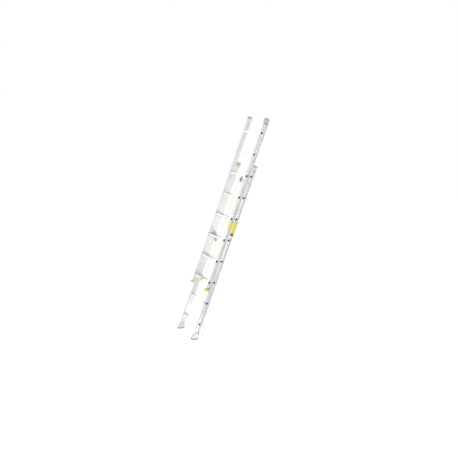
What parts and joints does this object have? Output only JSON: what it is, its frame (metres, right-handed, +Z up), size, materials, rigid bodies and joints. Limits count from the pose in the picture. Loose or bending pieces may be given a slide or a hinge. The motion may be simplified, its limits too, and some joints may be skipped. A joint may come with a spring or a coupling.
{
  "type": "extension ladder",
  "caption": "Two-section aluminium extension ladder with D rungs, rung locks, hoist rope and pulley, rail end caps and swivel shoes, at its working lean.",
  "frame": {"origin": "on the floor, midway between and directly under the shoe pivots", "axes": "+X along the rungs to the climber's right, +Y towards the wall that the ladder leans on, +Z up"},
  "size_m": [0.4488, 0.8095, 3.0679],
  "materials": {
    "aluminium": "mill-finished extrusion with fine draw lines",
    "cast_aluminium": "sand-cast, matt",
    "steel": "zinc plated",
    "cap_plastic": "moulded, matt yellow-green",
    "guide_plastic": "moulded, matt yellow",
    "black_plastic": "moulded, matt black",
    "nylon": "moulded, natural nylon",
    "black_steel": "black coated",
    "rubber": "ribbed rubber",
    "rope": "braided polypropylene"
  },
  "bodies": {
    "base": {"base_rail_left": "aluminium", "base_rail_right": "aluminium", "base_cap_left": "cap_plastic", "base_cap_right": "cap_plastic", "base_cap_rivets": "steel", "base_rung_1": "aluminium", "base_rung_2": "aluminium", "base_rung_3": "aluminium", "base_rung_4": "aluminium", "base_rung_5": "aluminium", "base_rung_6": "aluminium", "base_rung_7": "aluminium", "base_rung_8": "aluminium", "shoe_bolt_left": "steel", "shoe_bolt_right": "steel", "shoe_nut_left": "steel", "shoe_nut_right": "steel", "shoe_spacer_left": "steel", "shoe_spacer_right": "steel", "pulley_strap": "steel", "pulley_block": "black_steel", "pulley_axle": "steel", "pulley_bolt": "steel", "rope_hoist": "rope", "rope_haul": "rope"},
    "fly": {"fly_rail_left": "aluminium", "fly_rail_right": "aluminium", "fly_cap_left": "cap_plastic", "fly_cap_right": "cap_plastic", "fly_guide_left": "guide_plastic", "fly_guide_right": "guide_plastic", "fly_end_rivets": "steel", "fly_rung_1": "aluminium", "fly_rung_2": "aluminium", "fly_rung_3": "aluminium", "fly_rung_4": "aluminium", "fly_rung_5": "aluminium", "fly_rung_6": "aluminium", "fly_rung_7": "aluminium", "fly_rung_8": "aluminium", "lock_bracket_left": "steel", "lock_bracket_right": "steel", "lock_rivets": "steel", "lock_pin_left": "steel", "lock_pin_right": "steel", "lock_spring_left": "steel", "lock_spring_right": "steel", "rope_knot": "rope"},
    "sheave": {"pulley_sheave": "nylon"},
    "hook_left": {"lock_hook_left": "cast_aluminium", "tongue_pin_left": "steel"},
    "hook_right": {"lock_hook_right": "cast_aluminium", "tongue_pin_right": "steel"},
    "tongue_left": {"lock_tongue_left": "black_plastic"},
    "tongue_right": {"lock_tongue_right": "black_plastic"},
    "shoe_left": {"shoe_left": "steel", "shoe_pad_left": "rubber"},
    "shoe_right": {"shoe_right": "steel", "shoe_pad_right": "rubber"}
  },
  "joints": [
    {"name": "fly_slide", "type": "slide", "parent": "base", "child": "fly", "axis": [0, 0.2504, 0.9681], "range_m": [-0.6096, 0.9144], "deforming": ["rope_hoist"]},
    {"name": "sheave_turn", "type": "hinge", "parent": "base", "child": "sheave", "pos_m": [0, 0.54873, 2.20079], "axis": [1, 0, 0], "continuous": true},
    {"name": "hook_left_turn", "type": "hinge", "parent": "fly", "child": "hook_left", "pos_m": [-0.167, 0.28894, 1.45984], "axis": [1, 0, 0], "range_deg": [0, 30], "stiffness_Nm_per_rad": 0.5, "springref_deg": -20.05},
    {"name": "tongue_left_swing", "type": "hinge", "parent": "hook_left", "child": "tongue_left", "pos_m": [-0.167, 0.36295, 1.37459], "axis": [1, 0, 0], "range_deg": [-14, 60]},
    {"name": "shoe_left_swivel", "type": "hinge", "parent": "base", "child": "shoe_left", "pos_m": [-0.2005, 0, 0.079], "axis": [-1, 0, 0], "range_deg": [-75, 15]},
    {"name": "hook_right_turn", "type": "hinge", "parent": "fly", "child": "hook_right", "pos_m": [0.167, 0.28894, 1.45984], "axis": [1, 0, 0], "range_deg": [0, 30], "stiffness_Nm_per_rad": 0.5, "springref_deg": -20.05},
    {"name": "tongue_right_swing", "type": "hinge", "parent": "hook_right", "child": "tongue_right", "pos_m": [0.167, 0.36295, 1.37459], "axis": [1, 0, 0], "range_deg": [-14, 60]},
    {"name": "shoe_right_swivel", "type": "hinge", "parent": "base", "child": "shoe_right", "pos_m": [0.2005, 0, 0.079], "axis": [-1, 0, 0], "range_deg": [-75, 15]}
  ],
  "couplings": [
    {"joint": "sheave_turn", "follows": "fly_slide", "rad_per_m": -35.714}
  ]
}
